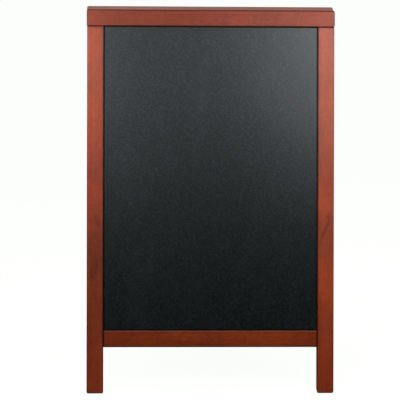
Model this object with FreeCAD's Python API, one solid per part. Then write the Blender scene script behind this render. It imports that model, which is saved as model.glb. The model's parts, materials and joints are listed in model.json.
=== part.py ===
import FreeCAD, Part
import math
import os

# Menu chalkboard easel: two equal wooden frames, each with a writing board in
# a groove, hinged together at the top to make an A-frame that stands on the
# floor. Two chains keep the legs from spreading.
#
# Frame: millimetres, +Z up, the front board faces -Y, +X is to the right of a
# person who reads the front board. The origin is on the floor, midway between
# the four feet.
#
# Each frame is drawn upright in "closed" coordinates, with the hinge pin line
# on the X axis, and is then leaned by half of the opening angle about that line.

# ---------------------------------------------------------------- dimensions
FRAME_H = 850.0            # top face to the tip of the foot, on the front face
RAIL_LEN = 550.0           # top rail, end to end
RAIL_PROUD = 0.9           # top rail past each stile's outer face
RAIL_W = 37.0              # width of the rails, seen from the front
STILE_W = 37.0             # width of the stiles, seen from the front
MEMBER_T = 22.0            # thickness of rails and stiles
OPENING_H = 673.0          # between the top rail and the bottom rail
HALF_ANGLE = 15.0          # lean of each frame from the vertical, degrees
CLOSED_GAP = 3.0           # between the two frames when folded flat
PIN_DROP = 4.0             # hinge pin line below the top faces

ROUND_R = 2.2              # round-over along the members' front and back arrises
RAIL_END_R = 4.5           # corners of the top rail, seen from the front
FOOT_R = 4.0               # corners of the feet, seen from the front

PANEL_T = 4.0              # writing board
PANEL_INSET = 5.5          # board's face behind the frame's face
GROOVE_DEPTH = 8.0
GROOVE_CLEAR = 0.1         # each side of the board
TONGUE = 7.0               # board held in the groove

DOWEL_R = 4.0
DOWEL_LEN = 40.0
DOWEL_CLEAR = 0.05

HINGE_X = 165.0            # centre of each hinge from the middle
HINGE_LEN = 50.0
LEAF_T = 1.3
LEAF_H = 26.0              # from the pin line down
KNUCKLE_R = 3.0
KNUCKLES = 5
KNUCKLE_GAP = 0.3
PIN_R = 1.5
PIN_CLEAR = 0.05
PIN_HEAD_R = 2.5
PIN_HEAD_T = 1.2
NOTCH_CLEAR = 0.5

SCREW_LEN = 16.0
SCREW_R = 1.65
SCREW_HEAD_R = 3.3
SCREW_TIP = 3.5
SCREW_CLEAR = 0.05
SCREW_AT = ((-17.0, -10.0), (0.0, -19.0), (17.0, -10.0))   # along the leaf, below the pin

EYE_WIRE_R = 1.1
EYE_RING_R = 3.6           # middle of the wire
EYE_SHANK_R = 1.3
EYE_SHANK_LEN = 18.0       # in the wood
EYE_TIP = 4.0
EYE_BACK = 0.4             # ring clear of the board's back

LINK_WIRE_R = 1.0
LINK_BEND_R = 3.0          # middle of the wire
LINK_STRAIGHT = 7.6
LINK_SLACK = 0.1
LINKS = 25                 # in each chain, an odd number
LINKS_FRONT = 13           # of which ride on the front half
CHAIN_SIDE_CLEAR = 0.7     # links clear of the stile's inner face

# ------------------------------------------------------------------- derived
V = FreeCAD.Vector
X_AXIS, Y_AXIS, Z_AXIS = V(1, 0, 0), V(0, 1, 0), V(0, 0, 1)
TH = math.radians(HALF_ANGLE)

Y_BACK = -CLOSED_GAP / 2.0                 # front frame's back face
Y_FACE = Y_BACK - MEMBER_T                 # front frame's face
Z_TOP = PIN_DROP
Z_SEAM = Z_TOP - RAIL_W                    # underside of the top rail
Z_BRAIL = Z_SEAM - OPENING_H               # top of the bottom rail
Z_BRAIL_LOW = Z_BRAIL - RAIL_W
Z_TIP = Z_TOP - FRAME_H                    # tip of the foot, on the front face
X_OUT = RAIL_LEN / 2.0 - RAIL_PROUD        # stile's outer face
X_IN = X_OUT - STILE_W                     # stile's inner face
X_GROOVE = X_IN + GROOVE_DEPTH

PANEL_Y0 = Y_FACE + PANEL_INSET
PANEL_Y1 = PANEL_Y0 + PANEL_T
GROOVE_Y0 = PANEL_Y0 - GROOVE_CLEAR
GROOVE_Y1 = PANEL_Y1 + GROOVE_CLEAR

# height of the hinge pin line over the floor, with the tip of the foot on it
PIN_Z = -Z_TIP * math.cos(TH) + Y_FACE * math.sin(TH)

# chain: the pivot is the part of the eye's wire that the end link hangs on
LINK_INNER = LINK_STRAIGHT + 2 * (LINK_BEND_R - LINK_WIRE_R)
LINK_PITCH = LINK_INNER - LINK_SLACK
FIRST_LINK = LINK_INNER / 2.0 - EYE_WIRE_R - LINK_SLACK
CHAIN_SPAN = 2 * FIRST_LINK + (LINKS - 1) * LINK_PITCH
EYE_Y = PANEL_Y1 + EYE_BACK + EYE_WIRE_R + EYE_RING_R     # centre of the ring
PIVOT_Y = EYE_Y + EYE_RING_R
PIVOT_Z = -(CHAIN_SPAN / 2.0 + PIVOT_Y * math.cos(TH)) / math.sin(TH)
CHAIN_X = X_IN - CHAIN_SIDE_CLEAR - LINK_BEND_R - LINK_WIRE_R


# ------------------------------------------------------------------- helpers
def box(x0, x1, y0, y1, z0, z1):
    return Part.makeBox(x1 - x0, y1 - y0, z1 - z0, V(x0, y0, z0))


def rod(r, p, d, length):
    return Part.makeCylinder(r, length, V(*p), V(*d))


def lean(shape, sign):
    """Leans a closed-pose shape: sign -1 for the front frame, +1 for the rear."""
    s = shape.copy()
    s.rotate(V(0, 0, 0), X_AXIS, sign * HALF_ANGLE)
    s.translate(V(0, 0, PIN_Z))
    return s


def turned(shape):
    """The same piece on the rear frame: a half turn about the upright axis."""
    s = shape.copy()
    s.rotate(V(0, 0, 0), Z_AXIS, 180)
    return s


def face_loops(shape):
    """The edges round the front face and round the back face of a member."""
    out = []
    for e in shape.Edges:
        ys = [v.Point.y for v in e.Vertexes]
        mid = e.valueAt((e.FirstParameter + e.LastParameter) / 2.0).y
        for plane in (Y_FACE, Y_BACK):
            if all(abs(y - plane) < 1e-6 for y in ys + [mid]):
                out.append(e)
    return out


def along_y(shape, low=None, high=None):
    """Edges that run through the thickness, with their middle between low and high."""
    out = []
    for e in shape.Edges:
        a, b = e.Vertexes[0].Point, e.Vertexes[-1].Point
        z = (a.z + b.z) / 2.0
        if abs(abs(a.y - b.y) - MEMBER_T) < 1e-6 and abs(a.x - b.x) < 1e-6:
            if (low is None or z > low) and (high is None or z < high):
                out.append(e)
    return out


def one(shape):
    """A result as its single solid, or as a compound of its solids."""
    if len(shape.Solids) == 1:
        return shape.Solids[0]
    return Part.makeCompound(shape.Solids)


# ------------------------------------------------------------ wooden members
def top_rail():
    s = box(-RAIL_LEN / 2, RAIL_LEN / 2, Y_FACE, Y_BACK, Z_SEAM, Z_TOP)
    s = s.makeFillet(RAIL_END_R, along_y(s))
    s = s.makeFillet(ROUND_R, face_loops(s))
    # groove for the board, stopped short of the ends
    s = s.cut(box(-X_GROOVE, X_GROOVE, GROOVE_Y0, GROOVE_Y1, Z_SEAM - 1, Z_SEAM + GROOVE_DEPTH))
    # relief for the hinge knuckles in the back top arris
    for side in (-1, 1):
        w = HINGE_LEN / 2 + PIN_HEAD_T + 1.0
        s = s.cut(rod(KNUCKLE_R + NOTCH_CLEAR, (side * HINGE_X - w, 0, 0), (1, 0, 0), 2 * w))
    for d in dowel_rods(DOWEL_CLEAR):
        s = s.cut(d)
    for d in hinge_screw_solids(SCREW_CLEAR):
        s = s.cut(d)
    return one(s)


def stile(side):
    x0, x1 = (X_IN, X_OUT) if side > 0 else (-X_OUT, -X_IN)
    s = box(x0, x1, Y_FACE, Y_BACK, Z_TIP - 20, Z_SEAM)
    # the foot is cut on the slant, so that it stands flat when the easel is open
    floor = Part.makeBox(2000, 2000, 500, V(-1000, -1000, -500))
    floor.rotate(V(0, 0, 0), X_AXIS, HALF_ANGLE)
    floor.translate(V(0, Y_FACE, Z_TIP))
    s = s.cut(floor).Solids[0]
    feet = []
    for e in s.Edges:
        a, b = e.Vertexes[0].Point, e.Vertexes[-1].Point
        if abs(a.x - b.x) < 1e-6 and abs(abs(a.y - b.y) - MEMBER_T) < 1e-6 and max(a.z, b.z) < Z_TIP + 30:
            feet.append(e)
    s = s.makeFillet(FOOT_R, feet)
    s = s.makeFillet(ROUND_R, face_loops(s))
    # groove for the board, from the top end to just past the bottom rail's top
    g0, g1 = (X_IN - 1, X_GROOVE) if side > 0 else (-X_GROOVE, -X_IN + 1)
    s = s.cut(box(g0, g1, GROOVE_Y0, GROOVE_Y1, Z_BRAIL - GROOVE_DEPTH, Z_SEAM + 1))
    for d in dowel_rods(DOWEL_CLEAR):
        s = s.cut(d)
    s = s.cut(eye_shank(side, SCREW_CLEAR))
    return one(s)


def bottom_rail():
    s = box(-X_IN, X_IN, Y_FACE, Y_BACK, Z_BRAIL_LOW, Z_BRAIL)
    s = s.makeFillet(ROUND_R, face_loops(s))
    s = s.cut(box(-X_IN - 1, X_IN + 1, GROOVE_Y0, GROOVE_Y1, Z_BRAIL - GROOVE_DEPTH, Z_BRAIL + 1))
    for d in dowel_rods(DOWEL_CLEAR):
        s = s.cut(d)
    return one(s)


def chalk_panel():
    return box(-X_IN - TONGUE, X_IN + TONGUE, PANEL_Y0, PANEL_Y1, Z_BRAIL - TONGUE, Z_SEAM + TONGUE)


def dowel_rods(extra=0.0):
    """Eight dowels: two upright in each top corner, two level in each bottom joint."""
    y = (Y_FACE + Y_BACK) / 2.0
    r, half = DOWEL_R - DOWEL_CLEAR + extra, DOWEL_LEN / 2 + extra * 10
    out = []
    for side in (-1, 1):
        for x in (X_IN + 14.4, X_IN + 27.9):
            out.append(rod(r, (side * x, y, Z_SEAM - half), (0, 0, 1), 2 * half))
        for z in (Z_BRAIL - 15.0, Z_BRAIL - 28.0):
            out.append(rod(r, (side * X_IN - half, y, z), (1, 0, 0), 2 * half))
    return out


# ------------------------------------------------------------------- hinges
def knuckle_spans(which):
    """(start, end) of the front leaf's knuckles (0) or of the rear leaf's (1)."""
    step = HINGE_LEN / KNUCKLES
    return [
        (-HINGE_LEN / 2 + i * step, -HINGE_LEN / 2 + (i + 1) * step)
        for i in range(KNUCKLES)
        if i % 2 == which
    ]


def hinge_leaf(side, which):
    """A leaf flat on the back of a top rail; which is 0 for the front, 1 for the rear."""
    cx = side * HINGE_X
    y0, y1 = Y_BACK, Y_BACK + LEAF_T
    s = box(cx - HINGE_LEN / 2, cx + HINGE_LEN / 2, y0, y1, -LEAF_H, 0)
    corners = [
        e for e in s.Edges
        if abs(abs(e.Vertexes[0].Point.y - e.Vertexes[-1].Point.y) - LEAF_T) < 1e-6
        and e.Vertexes[0].Point.z < -LEAF_H + 1e-6
    ]
    s = s.makeFillet(3.0, corners)
    g = KNUCKLE_GAP / 2
    for a, b in knuckle_spans(1 - which):
        a0 = a - g if a > -HINGE_LEN / 2 + 1e-6 else a - 1
        b0 = b + g if b < HINGE_LEN / 2 - 1e-6 else b + 1
        s = s.cut(rod(KNUCKLE_R + 0.4, (cx + a0, 0, 0), (1, 0, 0), b0 - a0))
    for a, b in knuckle_spans(which):
        a1 = a + g if a > -HINGE_LEN / 2 + 1e-6 else a
        b1 = b - g if b < HINGE_LEN / 2 - 1e-6 else b
        s = s.fuse(rod(KNUCKLE_R, (cx + a1, 0, 0), (1, 0, 0), b1 - a1))
    s = s.cut(rod(PIN_R + PIN_CLEAR, (cx - HINGE_LEN, 0, 0), (1, 0, 0), 2 * HINGE_LEN))
    s = s.removeSplitter()
    for d in hinge_screw_solids(SCREW_CLEAR):
        if abs(d.BoundBox.Center.x - cx) < HINGE_LEN:
            s = s.cut(d)
    if which == 1:
        s = s.mirror(V(0, 0, 0), Y_AXIS)
    return one(s)


def hinge_pin(side):
    cx = side * HINGE_X
    half = HINGE_LEN / 2 + 0.2
    s = rod(PIN_R, (cx - half, 0, 0), (1, 0, 0), 2 * half)
    for end in (-1, 1):
        h = rod(PIN_HEAD_R, (cx + end * half, 0, 0), (end, 0, 0), PIN_HEAD_T)
        rim = [e for e in h.Edges if e.Closed and abs(e.CenterOfMass.x - (cx + end * (half + PIN_HEAD_T))) < 1e-6]
        h = h.makeFillet(0.7, rim)
        s = s.fuse(h)
    return one(s.removeSplitter())


def hinge_screw_solids(extra=0.0, recess=False):
    """Countersunk screws, driven from the leaf's face into the front rail."""
    out = []
    head = Y_BACK + LEAF_T
    for side in (-1, 1):
        for dx, z in SCREW_AT:
            x = side * HINGE_X + dx
            rh, rs = SCREW_HEAD_R + extra, SCREW_R + extra
            cone = rh - rs
            over = 0.5 if extra else 0.0
            pts = [
                V(0, over, 0), V(rh, over, 0), V(rh, 0, 0), V(rs, -cone, 0),
                V(rs, -(SCREW_LEN - SCREW_TIP) - extra, 0), V(0.15, -SCREW_LEN - extra, 0),
                V(0, -SCREW_LEN - extra, 0), V(0, over, 0),
            ]
            if not extra:
                pts = [V(0, 0, 0), V(rh, 0, 0), V(rs, -cone, 0), V(rs, -(SCREW_LEN - SCREW_TIP), 0),
                       V(0.15, -SCREW_LEN, 0), V(0, -SCREW_LEN, 0), V(0, 0, 0)]
            prof = Part.Face(Part.makePolygon(pts))
            s = prof.revolve(V(0, 0, 0), Y_AXIS, 360)
            if recess:
                for w, l in ((0.45, 1.7), (1.7, 0.45)):
                    s = s.cut(Part.makeBox(2 * w, 1.3, 2 * l, V(-w, -1.2, -l)))
            s.translate(V(x, head, z))
            out.append(s.Solids[0] if s.Solids else Part.Solid(s))
    return out


# ------------------------------------------------------------- chains, eyes
def eye_shank(side, extra=0.0):
    start = CHAIN_X + EYE_RING_R
    end = X_IN + EYE_SHANK_LEN + extra
    r = EYE_SHANK_R + extra
    s = rod(r, (side * start, EYE_Y, PIVOT_Z), (side, 0, 0), end - start - EYE_TIP)
    tip = Part.makeCone(r, 0.2, EYE_TIP, V(side * (end - EYE_TIP), EYE_Y, PIVOT_Z), V(side, 0, 0))
    return s.fuse(tip)


def screw_eye(side):
    ring = Part.makeTorus(EYE_RING_R, EYE_WIRE_R, V(side * CHAIN_X, EYE_Y, PIVOT_Z), Z_AXIS)
    return one(ring.fuse(eye_shank(side)).removeSplitter())


def link():
    """One link at the origin, its length along Y, flat in the Y-Z plane."""
    h, r, w = LINK_STRAIGHT / 2, LINK_BEND_R, LINK_WIRE_R
    parts = []
    for z in (-r, r):
        parts.append(rod(w, (0, -h, z), (0, 1, 0), 2 * h))
    for end in (-1, 1):
        disc = Part.Face(Part.Wire(Part.makeCircle(w, V(0, end * h, -r * end), V(0, 1, 0))))
        parts.append(disc.revolve(V(0, end * h, 0), X_AXIS, 180))
    s = parts[0].multiFuse(parts[1:]).removeSplitter()
    return one(s)


def chain_half(side, front):
    """A straight run of links from its eye to the middle, along Y, at rest."""
    base = link()
    flat = base.copy()
    flat.rotate(V(0, 0, 0), Y_AXIS, 90)
    count = range(LINKS_FRONT) if front else range(LINKS_FRONT, LINKS)
    solids = []
    for i in count:
        s = (base if i % 2 == 0 else flat).copy()
        s.translate(V(side * CHAIN_X, -CHAIN_SPAN / 2 + FIRST_LINK + i * LINK_PITCH, CHAIN_Z))
        solids.append(s)
    return Part.makeCompound(solids)


# height of the taut chains over the floor
CHAIN_Z = PIN_Z + PIVOT_Y * math.sin(-TH) + PIVOT_Z * math.cos(-TH)

# --------------------------------------------------------------- the object
parts = {}
rail, brail, panel = top_rail(), bottom_rail(), chalk_panel()
left, right = stile(-1), stile(1)
dowels = Part.makeCompound(dowel_rods())
eyes = [screw_eye(-1), screw_eye(1)]
screws = Part.makeCompound(hinge_screw_solids(recess=True))

parts["front_top_rail"] = lean(rail, -1)
parts["front_bottom_rail"] = lean(brail, -1)
parts["front_left_stile"] = lean(left, -1)
parts["front_right_stile"] = lean(right, -1)
parts["front_chalk_panel"] = lean(panel, -1)
parts["front_dowels"] = lean(dowels, -1)
parts["front_hinge_screws"] = lean(screws, -1)
parts["front_chain_eyes"] = lean(Part.makeCompound(eyes), -1)

parts["rear_top_rail"] = lean(turned(rail), 1)
parts["rear_bottom_rail"] = lean(turned(brail), 1)
parts["rear_left_stile"] = lean(turned(right), 1)
parts["rear_right_stile"] = lean(turned(left), 1)
parts["rear_chalk_panel"] = lean(turned(panel), 1)
parts["rear_dowels"] = lean(turned(dowels), 1)
parts["rear_hinge_screws"] = lean(turned(screws), 1)
parts["rear_chain_eyes"] = lean(turned(Part.makeCompound(eyes)), 1)

for name, side in (("left", -1), ("right", 1)):
    parts[name + "_hinge_front_leaf"] = lean(hinge_leaf(side, 0), -1)
    parts[name + "_hinge_rear_leaf"] = lean(hinge_leaf(side, 1), 1)
    parts[name + "_hinge_pin"] = lean(hinge_pin(side), -1)
    parts[name + "_chain_front_half"] = chain_half(side, True)
    parts[name + "_chain_rear_half"] = chain_half(side, False)

os.makedirs("parts", exist_ok=True)
for node, shape in parts.items():
    if not shape.isValid() or not shape.Solids or any(s.Volume <= 0 for s in shape.Solids):
        raise RuntimeError("bad solid in " + node)
    shape.exportStep("parts/" + node + ".step")
    print(node, len(shape.Solids), "solids", round(shape.Volume, 1), "mm3")

pivot_y = -CHAIN_SPAN / 2
print("pin line height", PIN_Z)
print("chain span", CHAIN_SPAN, "pivot y", pivot_y, "chain height", CHAIN_Z, "pivot below pin", PIVOT_Z, "chain x", CHAIN_X)
print("foot centre y", (Y_FACE + Y_BACK) / 2 * math.cos(TH) + (Z_TIP + MEMBER_T / 2 * math.tan(TH)) * math.sin(TH))
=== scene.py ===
import json
import math
import random

import bmesh
import bpy
from mathutils import Matrix, Vector


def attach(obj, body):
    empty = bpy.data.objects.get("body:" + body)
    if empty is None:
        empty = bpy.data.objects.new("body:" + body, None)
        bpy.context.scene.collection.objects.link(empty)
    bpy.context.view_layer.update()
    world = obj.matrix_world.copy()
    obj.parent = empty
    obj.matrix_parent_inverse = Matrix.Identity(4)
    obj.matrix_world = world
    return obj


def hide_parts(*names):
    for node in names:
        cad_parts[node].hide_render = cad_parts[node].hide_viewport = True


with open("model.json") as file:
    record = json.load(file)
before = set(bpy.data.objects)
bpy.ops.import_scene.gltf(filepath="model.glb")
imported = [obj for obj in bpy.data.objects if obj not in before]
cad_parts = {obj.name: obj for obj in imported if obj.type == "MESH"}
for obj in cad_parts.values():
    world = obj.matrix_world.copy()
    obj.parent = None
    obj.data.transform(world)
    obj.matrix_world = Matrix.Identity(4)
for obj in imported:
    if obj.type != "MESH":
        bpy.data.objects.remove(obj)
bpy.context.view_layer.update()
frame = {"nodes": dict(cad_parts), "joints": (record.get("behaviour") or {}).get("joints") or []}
rng = random.Random(7)
scene = bpy.context.scene

# ------------------------------------------------------------ the frame's lines
JOINT = {j["name"]: j for j in frame["joints"]}
LEAN = math.radians(15.0)
PIN = Vector(JOINT["fold"]["pos_m"])
Y_BACK, Y_FACE = -0.0015, -0.0235          # faces of the front frame, folded flat
Z_TOP, Z_SEAM, Z_BRAIL, Z_BRAIL_LOW, Z_TIP = 0.004, -0.033, -0.706, -0.743, -0.846
X_OUT, X_IN = 0.2741, 0.2371


# ------------------------------------------------------------------ node helper
class Tree:
    """Short names for the shader nodes used below."""

    def __init__(self, name):
        self.mat = bpy.data.materials.new(name)
        self.mat.use_nodes = True
        self.t = self.mat.node_tree
        self.t.nodes.clear()

    def node(self, kind, **props):
        n = self.t.nodes.new(kind)
        for k, v in props.items():
            setattr(n, k, v)
        return n

    def put(self, sock, v):
        if isinstance(v, bpy.types.NodeSocket):
            self.t.links.new(v, sock)
        elif v is not None:
            sock.default_value = v

    def m(self, op, a, b=None, c=None, clamp=False):
        n = self.node("ShaderNodeMath", operation=op, use_clamp=clamp)
        for i, v in enumerate((a, b, c)):
            self.put(n.inputs[i], v)
        return n.outputs[0]

    def v(self, op, a, b=None, scale=None):
        n = self.node("ShaderNodeVectorMath", operation=op)
        self.put(n.inputs[0], a)
        if b is not None:
            self.put(n.inputs[1], b)
        if scale is not None:
            self.put(n.inputs["Scale"], scale)
        return n.outputs[1] if op in ("LENGTH", "DOT_PRODUCT", "DISTANCE") else n.outputs[0]

    def xyz(self, v):
        n = self.node("ShaderNodeSeparateXYZ")
        self.put(n.inputs[0], v)
        return n.outputs[0], n.outputs[1], n.outputs[2]

    def comb(self, x, y, z):
        n = self.node("ShaderNodeCombineXYZ")
        for i, v in enumerate((x, y, z)):
            self.put(n.inputs[i], v)
        return n.outputs[0]

    def noise(self, vec, scale=1.0, detail=2.0, rough=0.5, distort=0.0):
        n = self.node("ShaderNodeTexNoise", noise_dimensions="3D")
        self.put(n.inputs["Vector"], vec)
        n.inputs["Scale"].default_value = scale
        n.inputs["Detail"].default_value = detail
        n.inputs["Roughness"].default_value = rough
        n.inputs["Distortion"].default_value = distort
        return n.outputs[0]

    def cells(self, vec, scale=1.0, feature="F1"):
        n = self.node("ShaderNodeTexVoronoi", voronoi_dimensions="3D", feature=feature)
        self.put(n.inputs["Vector"], vec)
        n.inputs["Scale"].default_value = scale
        return n.outputs["Distance"]

    def span(self, v, a, b, c=0.0, d=1.0):
        """Smooth step of v from a..b to c..d."""
        n = self.node("ShaderNodeMapRange", interpolation_type="SMOOTHSTEP", clamp=True)
        self.put(n.inputs[0], v)
        for i, x in enumerate((a, b, c, d)):
            self.put(n.inputs[i + 1], x)
        return n.outputs[0]

    def ramp(self, f, stops):
        n = self.node("ShaderNodeValToRGB")
        self.put(n.inputs[0], f)
        r = n.color_ramp
        while len(r.elements) < len(stops):
            r.elements.new(0.5)
        for e, (p, c) in zip(r.elements, stops):
            e.position = p
            e.color = (*c, 1.0) if len(c) == 3 else c
        return n.outputs[0]

    def mix(self, f, a, b, mode="MIX"):
        n = self.node("ShaderNodeMix", data_type="RGBA", blend_type=mode)
        n.clamp_factor = True
        self.put(n.inputs[0], f)
        for i, x in ((6, a), (7, b)):
            if isinstance(x, tuple) and len(x) == 3:
                x = (*x, 1.0)
            self.put(n.inputs[i], x)
        return n.outputs[2]

    def gain(self, colour, f):
        """colour times the number f."""
        return self.v("SCALE", colour, scale=f)

    def bump(self, height, distance, strength=1.0, normal=None):
        n = self.node("ShaderNodeBump")
        n.inputs["Strength"].default_value = strength
        n.inputs["Distance"].default_value = distance
        self.put(n.inputs["Height"], height)
        if normal is not None:
            self.put(n.inputs["Normal"], normal)
        return n.outputs[0]

    def surface(self, colour, roughness, normal=None, **fixed):
        b = self.node("ShaderNodeBsdfPrincipled")
        self.put(b.inputs["Base Color"], colour)
        self.put(b.inputs["Roughness"], roughness)
        if normal is not None:
            self.put(b.inputs["Normal"], normal)
        for k, v in fixed.items():
            b.inputs[k.replace("_", " ")].default_value = v
        out = self.node("ShaderNodeOutputMaterial")
        self.t.links.new(b.outputs[0], out.inputs[0])
        return self.mat

    def place(self):
        return self.node("ShaderNodeTexCoord").outputs["Object"]

    def closed(self, sign):
        """Object coordinates turned back to the upright, folded pose: sign -1 front, +1 rear."""
        n = self.node("ShaderNodeMapping", vector_type="POINT")
        self.put(n.inputs["Vector"], self.place())
        a = -sign * LEAN
        back = Matrix.Rotation(a, 3, "X") @ PIN
        n.inputs["Rotation"].default_value = (a, 0, 0)
        n.inputs["Location"].default_value = (-back.x, -back.y, -back.z)
        return n.outputs[0]


# -------------------------------------------------------------------- materials
STAIN = (0.300, 0.0375, 0.0045)


def wood(name, sign, along, centre, half, seed, tone=1.0, pale=0.0, pith=(0.03, 0.05), drift=(0.02, 0.01),
         spacing=0.0042, joints=(), marks=(), tones=(), inner=1, shut=None, foot=False,
         shaded_arris=None, under=0.0, top_lit_gradient=0.0, arris_shade_strength=0.78, shaded=0.13, reach=(0.0013, 0.0033), arris_highlight=0.0, ior=1.40, coat=0.08):
    """Mahogany-stained, satin-lacquered solid wood. u runs across the member's
    width, v through its thickness and w along its length, from its centre."""
    g = Tree(name)
    x, y, z = g.xyz(g.closed(sign))
    cx, cy, cz = centre
    x, y, z = g.m("SUBTRACT", x, cx), g.m("SUBTRACT", y, cy), g.m("SUBTRACT", z, cz)
    if along == "X":
        x, z = z, x
    hu, hv, hw = half
    u, v, w = x, y, z
    # glued lengths of timber: each joint shifts the figure and the tone
    tone_f, shift, seams = tone, 0.0, []
    for at, slant, step in joints:
        line = g.m("SUBTRACT", g.m("MULTIPLY_ADD", u, slant, w), at)
        past = g.m("GREATER_THAN", line, 0.0)
        tone_f = g.m("MULTIPLY_ADD", past, step, tone_f)
        shift = g.m("MULTIPLY_ADD", past, 0.613, shift)
        seams.append((g.span(g.m("ABSOLUTE", line), 0.0002, 0.0014, 1.0, 0.0), 0.30 if step > 0 else -0.20))
    q = g.comb(g.m("ADD", u, g.m("ADD", shift, seed * 0.37)), g.m("ADD", v, seed * 0.11), g.m("ADD", w, g.m("ADD", shift, seed * 0.53)))
    # growth rings round a pith line that wanders along the member
    wob_a = g.m("SUBTRACT", g.noise(g.v("MULTIPLY", q, (9, 9, 2.6)), 1, 2, 0.5), 0.5)
    wob_b = g.m("SUBTRACT", g.noise(g.v("MULTIPLY", q, (7, 7, 3.2)), 1.3, 2, 0.5), 0.5)
    du = g.m("ADD", g.m("MULTIPLY_ADD", w, drift[0], g.m("ADD", u, pith[0])), g.m("MULTIPLY", wob_a, 0.030))
    dv = g.m("ADD", g.m("MULTIPLY_ADD", w, drift[1], g.m("ADD", v, pith[1])), g.m("MULTIPLY", wob_b, 0.030))
    for at, off, slant, length, width, strength in marks:
        # a knot's swirl pushes the rings aside
        a = g.m("DIVIDE", g.m("SUBTRACT", w, at), length)
        b = g.m("DIVIDE", g.m("SUBTRACT", g.m("SUBTRACT", u, off), g.m("MULTIPLY", g.m("SUBTRACT", w, at), slant)), width)
        near = g.span(g.m("SQRT", g.m("ADD", g.m("MULTIPLY", a, a), g.m("MULTIPLY", b, b))), 0.0, 1.6, 1.0, 0.0)
        du = g.m("MULTIPLY_ADD", near, 0.010, du)
    dist = g.m("SQRT", g.m("ADD", g.m("MULTIPLY", du, du), g.m("MULTIPLY", dv, dv)))
    ring = g.m("FRACT", g.m("DIVIDE", dist, spacing))
    late = g.m("MULTIPLY", g.span(ring, 0.25, 0.86), g.span(ring, 0.90, 1.0, 1.0, 0.0))
    # fibre streaks, pores, stain blotches and cross figure
    fibre = g.noise(g.v("MULTIPLY", q, (820, 820, 9)), 1, 3, 0.6)
    streak = g.noise(g.v("MULTIPLY", q, (150, 150, 2.2)), 1, 3, 0.55)
    pore = g.span(g.noise(g.v("MULTIPLY", q, (2300, 2300, 70)), 1, 1, 0.5), 0.60, 0.74)
    blotch = g.noise(g.v("MULTIPLY", q, (26, 26, 9)), 1, 3, 0.55)
    cloud = g.noise(g.v("MULTIPLY", q, (7, 7, 3.4)), 1, 2, 0.5)
    ripple = g.noise(g.v("MULTIPLY", q, (30, 30, 95)), 1, 2, 0.5, 0.6)
    mottle = g.noise(g.v("MULTIPLY", q, (165, 165, 75)), 1, 3, 0.6, 0.4)
    fine_mottle = g.noise(g.v("MULTIPLY", q, (430, 430, 170)), 1, 3, 0.6)
    # arrises: painted shade, a thin dark line along each one, darkest on the arris beside the board, with a wider band
    # of painted shade on the face next to the board
    eu = g.m("MAXIMUM", g.m("SUBTRACT", hu, g.m("ABSOLUTE", u)), 0.0)
    ev = g.m("MAXIMUM", g.m("SUBTRACT", hv, g.m("ABSOLUTE", v)), 0.0)
    ei = g.m("MAXIMUM", g.m("MULTIPLY_ADD", u, -inner, hu), 0.0)
    uneven = g.m("MULTIPLY", g.m("SUBTRACT", g.noise(g.v("MULTIPLY", q, (55, 55, 38)), 1, 3, 0.6), 0.5), 0.0016)
    arris = g.m("ADD", g.m("SQRT", g.m("ADD", g.m("MULTIPLY", eu, eu), g.m("MULTIPLY", ev, ev))), uneven)
    inside = g.m("ADD", g.m("SQRT", g.m("ADD", g.m("MULTIPLY", ei, ei), g.m("MULTIPLY", ev, ev))), uneven)
    band = g.span(arris, 0.0008, 0.0026, 1.0, 0.0)
    arris_shade = g.span(inside, *reach, 1.0, 0.0)
    shade = g.span(ei, 0.0015, 0.0120, 1.0, 0.0)
    if shut is not None:
        shutter = g.span(g.m("ABSOLUTE", g.m("SUBTRACT", w, shut[0])), shut[1] - 0.001, shut[1] + 0.001, 1.0, 0.40)
        arris_shade, shade = g.m("MULTIPLY", arris_shade, shutter), g.m("MULTIPLY", shade, shutter)
    rub = g.m("MULTIPLY", g.span(arris, 0.0006, 0.0018, 1.0, 0.0),
              g.span(g.noise(g.v("MULTIPLY", q, (60, 60, 26)), 1, 3, 0.6), 0.60, 0.74))
    ends = g.span(g.m("SUBTRACT", hw, g.m("ABSOLUTE", w)), 0.0006, 0.0030, 1.0, 0.0)

    level = g.m("MULTIPLY_ADD", late, -0.10, 1.0)
    level = g.m("MULTIPLY_ADD", g.m("SUBTRACT", fibre, 0.5), 0.30, level)
    level = g.m("MULTIPLY_ADD", g.m("SUBTRACT", streak, 0.5), 0.38, level)
    level = g.m("MULTIPLY_ADD", g.m("SUBTRACT", blotch, 0.5), 0.46, level)
    level = g.m("MULTIPLY_ADD", g.m("SUBTRACT", cloud, 0.5), 0.44, level)
    level = g.m("MULTIPLY_ADD", g.m("SUBTRACT", ripple, 0.5), 0.34, level)
    level = g.m("MULTIPLY_ADD", g.m("SUBTRACT", mottle, 0.5), 0.40, level)
    level = g.m("MULTIPLY_ADD", g.m("SUBTRACT", fine_mottle, 0.5), 0.36, level)
    level = g.m("MULTIPLY_ADD", pore, -0.13, level)
    # painted shade: darker along every arris, most of all along the arris beside the board and a little way onto the
    # face beside it
    level = g.m("MULTIPLY", level, g.m("MULTIPLY_ADD", band, -0.30, 1.0))
    level = g.m("MULTIPLY", level, g.m("MULTIPLY_ADD", arris_shade, -arris_shade_strength, 1.0))
    level = g.m("MULTIPLY", level, g.m("MULTIPLY_ADD", shade, -shaded, 1.0))
    level = g.m("MULTIPLY", level, g.m("MULTIPLY_ADD", ends, -0.66, 1.0))
    if shaded_arris:
        # painted shade: a darker line along one long arris (the upper one on the top rail, the lower one on the bottom
        # rail)
        et = g.m("MAXIMUM", g.m("MULTIPLY_ADD", u, -shaded_arris[0], hu), 0.0)
        top = g.span(g.m("ADD", g.m("SQRT", g.m("ADD", g.m("MULTIPLY", et, et), g.m("MULTIPLY", ev, ev))), uneven), 0.0018, 0.0034, 1.0, 0.0)
        level = g.m("MULTIPLY", level, g.m("MULTIPLY_ADD", top, -shaded_arris[1], 1.0))
    if under:
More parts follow.
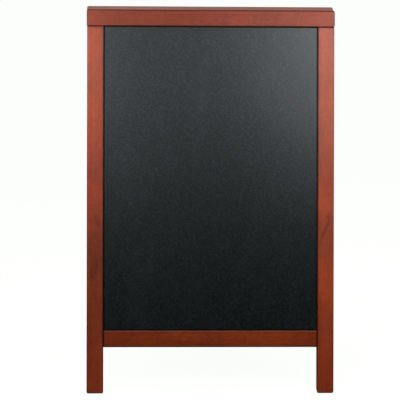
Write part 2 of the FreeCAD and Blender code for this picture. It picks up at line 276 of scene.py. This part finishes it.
        # painted shadow: the stile is darker just below the rail above it
        level = g.m("MULTIPLY", level, g.m("MULTIPLY_ADD", g.span(g.m("SUBTRACT", hw, w), 0.0, 0.011, 1.0, 0.0), -under, 1.0))
    # painted light: lighter towards the member's upper long edge and darker towards its lower one
    if top_lit_gradient:
        level = g.m("MULTIPLY", level, g.m("MULTIPLY_ADD", u, top_lit_gradient / hu, 1.0))
    for at, off, slant, length, width, strength in marks:
        a = g.m("DIVIDE", g.m("SUBTRACT", w, at), length)
        b = g.m("DIVIDE", g.m("SUBTRACT", g.m("SUBTRACT", u, off), g.m("MULTIPLY", g.m("SUBTRACT", w, at), slant)), width)
        r = g.m("SQRT", g.m("ADD", g.m("MULTIPLY", a, a), g.m("MULTIPLY", b, b)))
        r = g.m("MULTIPLY_ADD", g.m("SUBTRACT", blotch, 0.5), 0.6, r)
        level = g.m("MULTIPLY_ADD", g.span(r, 0.25, 1.0, 1.0, 0.0), -strength, level)
    for seam, gain in seams:
        level = g.m("MULTIPLY_ADD", seam, gain, level)
    level = g.m("MULTIPLY", level, tone_f)
    if tones:
        # the stain takes unevenly along the piece
        where = g.m("MULTIPLY_ADD", w, 0.5 / hw, 0.5)
        lane = g.ramp(where, [(0.5 + 0.5 * at / hw, (t / 2,) * 3) for at, t in sorted(tones)])
        level = g.m("MULTIPLY", g.m("MULTIPLY", level, g.xyz(lane)[0]), 2.0)
    level = g.m("MAXIMUM", level, 0.05)

    hue = g.m("MULTIPLY_ADD", g.m("SUBTRACT", cloud, 0.5), 1.1, g.m("MULTIPLY_ADD", g.m("SUBTRACT", blotch, 0.5), 0.9, g.m("MULTIPLY_ADD", g.m("SUBTRACT", mottle, 0.5), 1.0, 0.5)), clamp=True)
    warm = tuple(STAIN[i] * k for i, k in enumerate((1.02, 1.16, 0.95)))
    cool = tuple(STAIN[i] * k for i, k in enumerate((0.97, 0.86, 1.22)))
    colour = g.mix(hue, cool, warm)
    colour = g.mix(pale, colour, (0.345, 0.085, 0.045))
    colour = g.gain(colour, level)
    colour = g.mix(g.m("MULTIPLY", rub, 0.22), colour, (0.40, 0.120, 0.050))
    if arris_highlight:
        # painted highlight: a paler, lighter line along the arris under the board, where light from above catches it
        arris_highlight_line = g.m("MULTIPLY", g.span(g.m("ADD", ei, uneven), 0.0004, 0.0014), g.span(g.m("ADD", ei, uneven), 0.0024, 0.0042, 1.0, 0.0))
        colour = g.mix(g.m("MULTIPLY", arris_highlight_line, arris_highlight), colour, (0.22, 0.088, 0.062))
    if foot:
        # scuffed, dusty lower ends of the legs
        low = g.xyz(g.place())[2]
        scuff = g.m("MULTIPLY", g.span(low, 0.0, 0.016, 1.0, 0.0), g.span(g.noise(g.v("MULTIPLY", q, (210, 210, 150)), 1, 3, 0.6), 0.42, 0.62))
        colour = g.mix(g.m("MULTIPLY", scuff, 0.55), colour, (0.10, 0.040, 0.022))

    rough = g.m("MULTIPLY_ADD", g.m("SUBTRACT", fibre, 0.5), 0.16, 0.42)
    rough = g.m("MULTIPLY_ADD", g.m("SUBTRACT", blotch, 0.5), 0.14, rough)
    rough = g.m("MULTIPLY_ADD", rub, 0.12, rough)
    # the arris with painted shade is also made rougher
    if shaded_arris:
        rough = g.m("MULTIPLY_ADD", top, shaded_arris[2], rough, clamp=True)
    height = g.m("MULTIPLY_ADD", fibre, 0.55, g.m("MULTIPLY", streak, 0.35))
    height = g.m("MULTIPLY_ADD", pore, -0.50, height)
    height = g.m("MULTIPLY_ADD", late, 0.20, height)
    fine = g.bump(height, 0.00013, 0.75)
    skin = g.bump(g.noise(g.v("MULTIPLY", q, (75, 75, 16)), 1, 2, 0.5), 0.00050, 0.40, fine)
    return g.surface(colour, rough, skin, Coat_Weight=coat, Coat_Roughness=0.28, Coat_IOR=1.5, IOR=ior)


def chalkboard(name, sign, seed):
    """Matt black writing paint on thin hardboard: sandy, faintly wiped."""
    g = Tree(name)
    x, y, z = g.xyz(g.closed(sign))
    q = g.comb(g.m("ADD", x, seed), g.m("ADD", y, seed * 0.3), z)
    flat = g.comb(g.m("ADD", x, seed), g.m("MULTIPLY", y, 0.0), z)
    sand = g.noise(q, 1150, 3, 0.62)
    grit = g.noise(q, 420, 2, 0.55)
    wipe = g.noise(g.v("MULTIPLY", g.v("ADD", flat, (0.0, 0.0, 0.0)), (11, 1, 5)), 1, 4, 0.6, 0.8)
    haze = g.noise(g.v("MULTIPLY", flat, (3.2, 1, 2.4)), 1, 3, 0.5)
    speck = g.m("MULTIPLY", g.span(g.cells(q, 95), 0.035, 0.060, 1.0, 0.0), g.span(g.noise(q, 31, 1, 0.5), 0.60, 0.66))
    # edges: bare brown hardboard under the paint where the board slides into its groove
    ex = g.m("SUBTRACT", X_IN + 0.007, g.m("ABSOLUTE", x))
    ez = g.m("SUBTRACT", (Z_SEAM - Z_BRAIL) / 2 + 0.007, g.m("ABSOLUTE", g.m("SUBTRACT", z, (Z_SEAM + Z_BRAIL) / 2)))
    edge = g.span(g.m("MINIMUM", ex, ez), 0.00002, 0.00040, 1.0, 0.0)
    level = g.m("MULTIPLY_ADD", g.m("SUBTRACT", sand, 0.5), 0.75, 1.0)
    level = g.m("MULTIPLY_ADD", g.m("SUBTRACT", grit, 0.5), 0.45, level)
    level = g.m("MULTIPLY_ADD", g.m("SUBTRACT", haze, 0.5), 0.30, level)
    level = g.m("MAXIMUM", g.m("MULTIPLY_ADD", g.m("SUBTRACT", g.noise(q, 300, 2, 0.55), 0.5), 16.0, level), 0.05)
    dust = g.m("MULTIPLY", g.span(wipe, 0.50, 0.78), 0.10)
    dust = g.m("ADD", dust, g.m("MULTIPLY", speck, 0.45), clamp=True)
    colour = g.gain(g.mix(haze, (0.0015, 0.0042, 0.0034), (0.0020, 0.0046, 0.0039)), level)
    colour = g.mix(dust, colour, (0.055, 0.060, 0.063))
    colour = g.mix(edge, colour, (0.085, 0.048, 0.026))
    # painted shade: the walls of the narrow gap beside the frame are coloured a very dark reddish brown and made
    # rougher
    gap = g.m("MULTIPLY", g.span(g.m("ABSOLUTE", y), 0.0176, 0.0178, 1.0, 0.0), g.span(g.m("SUBTRACT", g.m("MINIMUM", ex, ez), 0.007), 0.0018, 0.0021, 1.0, 0.0))
    colour = g.mix(gap, colour, (0.030, 0.0060, 0.0018))
    pebble = g.noise(q, 380, 3, 0.55)
    rough = g.m("MULTIPLY_ADD", g.m("SUBTRACT", sand, 0.5), 0.14, 0.336)
    rough = g.m("MULTIPLY_ADD", g.m("SUBTRACT", pebble, 0.5), 0.16, rough)
    rough = g.m("MULTIPLY_ADD", g.m("SUBTRACT", wipe, 0.5), 0.05, rough)
    rough = g.m("MULTIPLY_ADD", gap, 0.50, rough, clamp=True)
    n1 = g.bump(sand, 0.00012, 0.60)
    n2 = g.bump(pebble, 0.00028, 0.9, n1)
    n3 = g.bump(g.noise(g.v("MULTIPLY", q, (9, 9, 7)), 1, 1, 0.5), 0.0012, 0.30, n2)
    return g.surface(colour, rough, n3, IOR=1.47)


def metal(name, colour, rough, seed, brushed=None, tarnish=(0.25, 0.18, 0.10), amount=0.25, scale=900.0):
    """Plated steel: fine scratches or brushing, clouded plating, dull spots."""
    g = Tree(name)
    p = g.v("ADD", g.place(), (seed, seed * 0.7, seed * 1.3))
    stretch = {None: (1, 1, 1), "X": (0.03, 1, 1), "Y": (1, 0.03, 1), "Z": (1, 1, 0.03)}[brushed]
    line = g.noise(g.v("MULTIPLY", p, stretch), scale * 3, 3, 0.6)
    cloud = g.noise(p, 130, 3, 0.55)
    spot = g.span(g.noise(p, 420, 3, 0.6), 0.58, 0.72)
    base = g.mix(cloud, tuple(c * 0.84 for c in colour), colour)
    base = g.gain(base, g.m("MULTIPLY_ADD", g.m("SUBTRACT", line, 0.5), 0.30, 1.0))
    base = g.mix(g.m("MULTIPLY", spot, amount), base, tarnish)
    r = g.m("MULTIPLY_ADD", g.m("SUBTRACT", line, 0.5), 0.20, rough)
    r = g.m("MULTIPLY_ADD", spot, 0.22, r, clamp=True)
    n = g.bump(line, 0.00004, 0.5)
    return g.surface(base, r, n, Metallic=1.0)


def beech(name, seed):
    """Plain turned dowel with pressed flutes and a little glue."""
    g = Tree(name)
    p = g.v("ADD", g.place(), (seed, seed, seed))
    fibre = g.noise(g.v("MULTIPLY", p, (300, 300, 300)), 1, 3, 0.6)
    fleck = g.span(g.noise(p, 1500, 2, 0.5), 0.58, 0.72)
    colour = g.gain(g.mix(fibre, (0.50, 0.31, 0.15), (0.66, 0.44, 0.24)), 1.0)
    colour = g.mix(g.m("MULTIPLY", fleck, 0.4), colour, (0.34, 0.18, 0.08))
    return g.surface(colour, g.m("MULTIPLY_ADD", fibre, 0.2, 0.5), g.bump(fibre, 0.00008, 0.5))


def dress(node, material):
    o = frame["nodes"][node]
    o.data.materials.clear()
    o.data.materials.append(material)
    return o


YM = (Y_FACE + Y_BACK) / 2
STILE_HALF, RAIL_HALF = (X_OUT - X_IN) / 2, (Z_TOP - Z_SEAM) / 2
CZ_STILE, CX = (Z_SEAM + Z_TIP) / 2, (X_OUT + X_IN) / 2
CZ_TOP, CZ_LOW = (Z_TOP + Z_SEAM) / 2, (Z_BRAIL + Z_BRAIL_LOW) / 2
MID = (Z_SEAM + Z_BRAIL_LOW) / 2 - CZ_STILE
STILE = dict(along="Z", under=0.24, half=(STILE_HALF, 0.011, (Z_SEAM - Z_TIP) / 2), shut=(MID, (Z_SEAM - Z_BRAIL_LOW) / 2), foot=True)
TOP = dict(along="X", half=(RAIL_HALF, 0.011, 0.275), inner=-1, shut=(0.0, X_IN))
LOW = dict(along="X", half=(RAIL_HALF, 0.011, X_IN), inner=1, arris_shade_strength=0.88, shaded=0.28, reach=(0.0005, 0.0021), arris_highlight=0.38)


def height(px):
    """Distance along a stile from its middle, for a height in the picture's rows."""
    return Z_TOP - (px - 10.2) / 452.0 - CZ_STILE


dress("front_top_rail", wood("wood_front_top_rail", -1, centre=(0, YM, CZ_TOP), seed=1.0, tone=0.76, pale=0.0,
      pith=(0.045, 0.03), drift=(0.010, 0.02), joints=((0.196, -0.30, 0.07),), shaded_arris=(1, 0.65, 0.40), ior=1.35, coat=0.04,
      tones=((-0.253, 0.93), (-0.209, 0.80), (-0.165, 0.84), (-0.120, 0.89), (-0.076, 0.90), (-0.032, 1.14), (0.012, 1.22), (0.057, 1.39), (0.101, 1.00), (0.145, 0.97), (0.176, 1.09), (0.216, 1.10), (0.251, 1.12)), **TOP))
dress("front_left_stile", wood("wood_front_left_stile", -1, centre=(-CX, YM, CZ_STILE), seed=2.0, tone=1.0, pale=0.0,
      pith=(-0.050, 0.035), drift=(0.012, -0.014), inner=1, marks=((height(221), 0.005, -0.30, 0.018, 0.0080, 0.34), (height(268), -0.002, 0.25, 0.040, 0.012, 0.24), (height(243), 0.002, -0.40, 0.010, 0.0030, -0.22)),
      tones=((-0.384, 1.18), (-0.352, 0.99), (-0.313, 1.01), (-0.273, 0.94), (-0.237, 0.86), (-0.198, 0.91), (-0.158, 0.79), (-0.118, 0.72), (-0.078, 0.65), (-0.038, 0.91), (0.002, 0.98), (0.041, 1.04), (0.081, 0.92), (0.121, 1.04), (0.161, 0.97), (0.201, 0.87), (0.240, 0.87), (0.280, 0.76), (0.320, 0.76), (0.360, 0.94), (0.391, 0.87)), **STILE))
dress("front_right_stile", wood("wood_front_right_stile", -1, centre=(CX, YM, CZ_STILE), seed=3.4, tone=1.22, pale=0.0,
      pith=(0.030, 0.060), drift=(-0.016, 0.010), inner=-1, marks=((height(229), 0.000, 0.45, 0.036, 0.0060, 0.42), (height(217), 0.006, 0.30, 0.018, 0.0085, 0.34)),
      tones=((-0.384, 1.09), (-0.352, 1.02), (-0.313, 0.98), (-0.273, 0.87), (-0.237, 0.89), (-0.198, 1.04), (-0.158, 1.07), (-0.118, 0.93), (-0.078, 0.79), (-0.038, 0.77), (0.002, 1.10), (0.041, 1.00), (0.081, 0.87), (0.121, 0.86), (0.161, 0.90), (0.201, 0.89), (0.240, 1.02), (0.280, 0.85), (0.320, 1.01), (0.360, 1.01), (0.391, 1.02)), **STILE))
dress("front_bottom_rail", wood("wood_front_bottom_rail", -1, centre=(0, YM, CZ_LOW), seed=4.7, tone=0.95, pale=0.0,
      pith=(0.02, 0.07), drift=(0.015, 0.004), shaded_arris=(-1, 0.70, 0.0), top_lit_gradient=0.20, ior=1.30, coat=0.02,
      tones=((-0.209, 0.83), (-0.156, 0.84), (-0.101, 0.94), (-0.045, 0.90), (0.001, 0.82), (0.054, 0.94), (0.110, 0.98), (0.165, 1.01), (0.211, 0.89)), **LOW))
dress("rear_top_rail", wood("wood_rear_top_rail", 1, centre=(0, -YM, CZ_TOP), seed=5.3, tone=0.90, pale=0.25, tones=((-0.262, 0.66), (-0.19, 0.86), (-0.08, 1.0), (0.26, 1.0)),
      pith=(-0.04, 0.045), drift=(0.012, -0.01), joints=((-0.082, 0.30, -0.14),), **TOP))
dress("rear_left_stile", wood("wood_rear_left_stile", 1, centre=(-CX, -YM, CZ_STILE), seed=6.1, tone=0.98, pale=0.05,
      pith=(0.055, 0.02), drift=(-0.010, 0.012), inner=1, joints=((0.085, 0.30, 0.10),), **STILE))
dress("rear_right_stile", wood("wood_rear_right_stile", 1, centre=(CX, -YM, CZ_STILE), seed=7.9, tone=1.02, pale=0.0,
      pith=(0.025, -0.055), drift=(0.014, 0.01), inner=-1, marks=((0.16, 0.004, 0.30, 0.030, 0.008, 0.28),), **STILE))
dress("rear_bottom_rail", wood("wood_rear_bottom_rail", 1, centre=(0, -YM, CZ_LOW), seed=8.8, tone=0.95, pale=0.0,
      pith=(-0.03, 0.06), drift=(0.01, 0.012), **LOW))


def board(name, sign, node, material):
    """The writing board, with a narrow gap where its painted face meets the frame; its material fills the gap with
    painted shade.
    """
    face, back = 0.0180, 0.0140
    tuck, gap, deep, soft = 0.0070, 0.0015, 0.0032, 0.0003
    rings = ((tuck, back), (tuck, face), (0.0004, face), (0.0004, face - deep), (-gap, face - deep),
             (-gap, face - soft), (-gap - soft, face))
    turn = Matrix.Translation(PIN) @ Matrix.Rotation(sign * LEAN, 4, "X")
    bm = bmesh.new()
    loops = []
    for out, y in rings:
        x, low, high = X_IN + out, Z_BRAIL - out, Z_SEAM + out
        loops.append([bm.verts.new(turn @ Vector((px, sign * y, pz))) for px, pz in ((-x, low), (x, low), (x, high), (-x, high))])
    bm.faces.new(loops[0])
    bm.faces.new(loops[-1])
    for a, b in zip(loops, loops[1:]):
        for i in range(4):
            bm.faces.new((a[i], a[(i + 1) % 4], b[(i + 1) % 4], b[i]))
    bmesh.ops.recalc_face_normals(bm, faces=bm.faces)
    mesh = bpy.data.meshes.new(name)
    bm.to_mesh(mesh)
    bm.free()
    o = bpy.data.objects.new(name, mesh)
    scene.collection.objects.link(o)
    mesh.materials.append(material)
    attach(o, "front_frame" if sign < 0 else "rear_frame")
    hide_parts(node)
    return o


board("front_writing_board", -1, "front_chalk_panel", chalkboard("board_front", -1, 0.0))
board("rear_writing_board", 1, "rear_chalk_panel", chalkboard("board_rear", 1, 3.7))
dress("front_dowels", beech("dowel_front", 1.0))
dress("rear_dowels", beech("dowel_rear", 4.0))

ZINC_YELLOW = (0.60, 0.50, 0.29)
for i, n in enumerate(("left_hinge_front_leaf", "right_hinge_front_leaf", "left_hinge_rear_leaf", "right_hinge_rear_leaf")):
    dress(n, metal("plate_" + n, ZINC_YELLOW, 0.36, 2.0 + i, brushed="X", tarnish=(0.20, 0.13, 0.06), amount=0.35))
for i, n in enumerate(("left_hinge_pin", "right_hinge_pin")):
    dress(n, metal("pin_" + n, (0.52, 0.51, 0.49), 0.28, 9.0 + i, brushed="X"))
for i, n in enumerate(("front_hinge_screws", "rear_hinge_screws")):
    dress(n, metal("screw_" + n, (0.58, 0.52, 0.38), 0.33, 14.0 + i, tarnish=(0.18, 0.12, 0.07)))
for i, n in enumerate(("front_chain_eyes", "rear_chain_eyes")):
    dress(n, metal("eye_" + n, (0.60, 0.60, 0.58), 0.27, 19.0 + i))

# ------------------------------------------------------------------ the chains
WIRE_R, BEND_R, STRAIGHT, PITCH, LINKS, LINKS_FRONT, FIRST = 0.0010, 0.0030, 0.0076, 0.0115, 25, 13, 0.0046
SAG = 0.0034


def link_rings(bm, place, weld):
    """One welded link: a wire of round section bent to an oval, closed on itself."""
    path, half = [], STRAIGHT / 2
    for i in range(4):
        path.append((-half + STRAIGHT * i / 4, BEND_R, 0.0))
    for i in range(12):
        a = math.pi / 2 - math.pi * i / 12
        path.append((half + BEND_R * math.cos(a), BEND_R * math.sin(a), a - math.pi / 2))
    for i in range(4):
        path.append((half - STRAIGHT * i / 4, -BEND_R, -math.pi))
    for i in range(12):
        a = -math.pi / 2 - math.pi * i / 12
        path.append((-half + BEND_R * math.cos(a), BEND_R * math.sin(a), a - math.pi / 2))
    n, k = len(path), 12
    rings = []
    for i, (px, pz, t) in enumerate(path):
        r = WIRE_R
        if weld and i in (1, 2, 3):           # the butt weld on one straight side
            r *= (1.05, 1.16, 1.05)[i - 1]
        out = Vector((-math.sin(t), 0, math.cos(t)))      # in the link's plane
        ring = []
        for j in range(k):
            b = 2 * math.pi * j / k
            p = Vector((px, 0, pz)) + out * (r * math.cos(b)) + Vector((0, r * math.sin(b), 0))
            ring.append(bm.verts.new(place @ p))
        rings.append(ring)
    for i in range(n):
        a, b = rings[i], rings[(i + 1) % n]
        for j in range(k):
            bm.faces.new((a[j], a[(j + 1) % k], b[(j + 1) % k], b[j]))


def chain_half(name, joint, body, node, side, first, last, material):
    """Links from the eye to the middle, hanging in one shallow curve between the eyes."""
    eye = Vector(JOINT[joint]["pos_m"])
    span = abs(eye.y)
    bm = bmesh.new()
    for i in range(first, last):
        y = -span + FIRST + i * PITCH
        z = eye.z - SAG * (1 - (y / span) ** 2)
        slope = math.atan2(2 * SAG * y / span ** 2, 1.0)
        roll = (0 if i % 2 == 0 else math.pi / 2) + rng.uniform(-0.10, 0.10)
        if i in (0, LINKS - 1):
            roll = rng.uniform(-0.03, 0.03)
        # the link is drawn along X with its plane in X-Z; turn X to Y, roll it, then lay it on the curve
        turn = Matrix.Rotation(slope, 4, "X") @ Matrix.Rotation(roll, 4, "Y") @ Matrix.Rotation(math.pi / 2, 4, "Z")
        link_rings(bm, Matrix.Translation((eye.x, y, z)) @ turn, True)
    bmesh.ops.recalc_face_normals(bm, faces=bm.faces)
    mesh = bpy.data.meshes.new(name)
    bm.to_mesh(mesh)
    bm.free()
    for p in mesh.polygons:
        p.use_smooth = True
    o = bpy.data.objects.new(name, mesh)
    scene.collection.objects.link(o)
    mesh.materials.append(material)
    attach(o, body)
    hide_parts(node)
    return o


for i, side in enumerate(("left", "right")):
    steel = metal("chain_plate_" + side, (0.62, 0.62, 0.60), 0.26, 25.0 + i, tarnish=(0.16, 0.12, 0.09), amount=0.3)
    chain_half(side + "_chain_front", side + "_chain_front_swing", side + "_chain_front", side + "_chain_front_half", side, 0, LINKS_FRONT, steel)
    chain_half(side + "_chain_rear", side + "_chain_rear_swing", side + "_chain_rear", side + "_chain_rear_half", side, LINKS_FRONT, LINKS, steel)

# ------------------------------------------------------------------- the studio
floor_mesh = bpy.data.meshes.new("studio_floor")
floor_mesh.from_pydata([(-60, -60, 0), (60, -60, 0), (60, 60, 0), (-60, 60, 0)], [], [(0, 1, 2, 3)])
floor = bpy.data.objects.new("studio_floor", floor_mesh)
scene.collection.objects.link(floor)
floor.location.z = -0.0002
FLOOR_BOUNCE = 0.30
g = Tree("studio_floor")
ray = g.node("ShaderNodeLightPath")
lit = g.node("ShaderNodeBsdfDiffuse")
lit.inputs[0].default_value = (0.085, 0.085, 0.084, 1)
glow = g.node("ShaderNodeEmission")
glow.inputs[0].default_value = (0.945, 0.965, 0.940, 1)
add = g.node("ShaderNodeAddShader")
g.t.links.new(lit.outputs[0], add.inputs[0])
g.t.links.new(glow.outputs[0], add.inputs[1])
plain = g.node("ShaderNodeBsdfDiffuse")
plain.inputs[0].default_value = (FLOOR_BOUNCE, FLOOR_BOUNCE, FLOOR_BOUNCE, 1)
pick = g.node("ShaderNodeMixShader")
g.t.links.new(ray.outputs["Is Camera Ray"], pick.inputs[0])
g.t.links.new(plain.outputs[0], pick.inputs[1])
g.t.links.new(add.outputs[0], pick.inputs[2])
out = g.node("ShaderNodeOutputMaterial")
g.t.links.new(pick.outputs[0], out.inputs[0])
floor_mesh.materials.append(g.mat)

world = bpy.data.worlds.new("studio")
scene.world = world
world.use_nodes = True
wt = world.node_tree
wt.nodes.clear()
WORLD = 1.50
w_ray = wt.nodes.new("ShaderNodeLightPath")
w_mix = wt.nodes.new("ShaderNodeMixShader")
w_soft = wt.nodes.new("ShaderNodeBackground")
w_soft.inputs[0].default_value = (0.98, 1.0, 1.0, 1)
w_dir = wt.nodes.new("ShaderNodeTexCoord")
w_away = wt.nodes.new("ShaderNodeVectorMath")
w_away.operation = "DOT_PRODUCT"
w_away.inputs[1].default_value = (0, math.cos(LEAN), -math.sin(LEAN))      # away from the front board's face
w_high = wt.nodes.new("ShaderNodeVectorMath")
w_high.operation = "DOT_PRODUCT"
w_high.inputs[1].default_value = (0, 0, 1)
w_a = wt.nodes.new("ShaderNodeMapRange")
w_b = wt.nodes.new("ShaderNodeMapRange")
for n, lo, hi, a, b in ((w_a, 0.0, 0.60, 0.0, 1.0), (w_b, -0.05, 0.75, 0.30, 1.0)):
    n.interpolation_type = "SMOOTHSTEP"
    for i, val in enumerate((lo, hi, a, b)):
        n.inputs[i + 1].default_value = val
w_both = wt.nodes.new("ShaderNodeMath")
w_both.operation = "MULTIPLY"
w_power = wt.nodes.new("ShaderNodeMath")
w_power.operation = "MULTIPLY"
w_power.inputs[1].default_value = WORLD
for n in (w_away, w_high):
    wt.links.new(w_dir.outputs["Generated"], n.inputs[0])
wt.links.new(w_away.outputs["Value"], w_a.inputs[0])
wt.links.new(w_high.outputs["Value"], w_b.inputs[0])
wt.links.new(w_a.outputs[0], w_both.inputs[0])
wt.links.new(w_b.outputs[0], w_both.inputs[1])
wt.links.new(w_both.outputs[0], w_power.inputs[0])
wt.links.new(w_power.outputs[0], w_soft.inputs[1])
w_seen = wt.nodes.new("ShaderNodeBackground")
w_seen.inputs[0].default_value = (0.965, 0.975, 0.965, 1)
w_seen.inputs[1].default_value = 1.0
w_out = wt.nodes.new("ShaderNodeOutputWorld")
wt.links.new(w_ray.outputs["Is Camera Ray"], w_mix.inputs[0])
wt.links.new(w_soft.outputs[0], w_mix.inputs[1])
wt.links.new(w_seen.outputs[0], w_mix.inputs[2])
wt.links.new(w_mix.outputs[0], w_out.inputs[0])

FACE_N = Vector((0, -math.cos(LEAN), math.sin(LEAN)))      # out of the front board
FACE_UP = Vector((0, math.sin(LEAN), math.cos(LEAN)))      # up the front board
FACE_C = PIN + Matrix.Rotation(-LEAN, 3, "X") @ Vector((0, Y_FACE, (Z_TOP + Z_TIP) / 2))


def softbox(name, place, aim, size, power, colour=(1, 1, 1)):
    data = bpy.data.lights.new(name, "AREA")
    data.shape = "RECTANGLE"
    data.size, data.size_y = size
    data.energy = power
    data.color = colour
    o = bpy.data.objects.new(name, data)
    scene.collection.objects.link(o)
    o.location = place
    o.rotation_euler = (Vector(aim) - Vector(place)).to_track_quat("-Z", "Y").to_euler()
    o.visible_camera = False
    return o


def at(x, up, out):
    """A point given across, up and out from the middle of the front board's face."""
    return FACE_C + Vector((x, 0, 0)) + FACE_UP * up + FACE_N * out


COOL = (0.95, 1.0, 1.06)
LIGHTS = {
    "key": (at(0.524, 0.351, 0.810), at(0.08, 0.12, 0), (0.54, 0.43), 3.43, COOL),
    "key_high": (at(0.376, 0.541, 0.988), at(0.08, 0.12, 0), (0.55, 0.44), 2.25, COOL),
    "key_far": (at(0.586, 0.620, 1.492), at(0.08, 0.12, 0), (0.80, 0.57), 0.83, COOL),
    "hair": (at(-0.296, 1.125, 0.246), at(0, 0.1, 0), (0.82, 0.31), 3.14, COOL),
    "left": (at(-0.448, 0.332, 1.492), at(-0.05, 0.1, 0), (0.57, 0.46), 2.47, COOL),
    "left_high": (at(-0.448, 0.537, 0.869), at(-0.05, 0.1, 0), (0.55, 0.43), 1.24, COOL),
    "rake_left": (at(-0.480, 0.326, 0.225), at(-0.1, 0.1, 0), (0.31, 0.31), 1.75, COOL),
    "rake_right": (at(0.420, 0.509, 0.225), at(0.1, 0.1, 0), (0.41, 0.31), 0.71, COOL),
}
for name, spec in LIGHTS.items():
    softbox(name, *spec)


def behind(x, up, out):
    """The same measure from the middle of the rear board's face."""
    p = at(x, up, out)
    return Vector((p.x, -p.y, p.z))


softbox("rear_key", behind(-0.50, 0.30, 0.85), behind(-0.08, 0.12, 0), (0.55, 0.45), 1.7, COOL)
softbox("rear_side", behind(0.95, 0.36, 1.05), behind(0.05, 0.10, 0), (0.60, 0.50), 2.4, COOL)

# ------------------------------------------------------------------- the camera
# Nearly square to the front board, from a little to its left.
DIST, ACROSS, UP, PX_PER_M, SENSOR = 5.018, -0.245, 0.0421, 452.06, 0.036
YAW, PITCH, ROLL = math.radians(2.538), math.radians(-0.375), math.radians(0.126)
AXIS_AT = (200.53, 197.70)              # where the lens axis meets the 400 x 400 picture
cam_data = bpy.data.cameras.new("camera")
cam_data.sensor_width = SENSOR * 1000
cam_data.lens = PX_PER_M * SENSOR * DIST / 400 * 1000
cam_data.shift_x = (200 - AXIS_AT[0]) / 400
cam_data.shift_y = (AXIS_AT[1] - 200) / 400
cam_data.clip_start, cam_data.clip_end = 0.1, 400
cam = bpy.data.objects.new("camera", cam_data)
scene.collection.objects.link(cam)
ahead = Vector((math.sin(YAW), 0, 0)) - FACE_N * math.cos(YAW)
ahead, above = ahead * math.cos(PITCH) + FACE_UP * math.sin(PITCH), FACE_UP * math.cos(PITCH) - ahead * math.sin(PITCH)
right = ahead.cross(above)
cam.location = at(ACROSS, UP, DIST)
cam.rotation_euler = (Matrix((right, above, -ahead)).transposed() @ Matrix.Rotation(ROLL, 3, "Z")).to_euler()
scene.camera = cam
scene.view_settings.view_transform = "Standard"
scene.view_settings.look = "None"
scene.view_settings.exposure = 0.0
scene.view_settings.gamma = 1.0
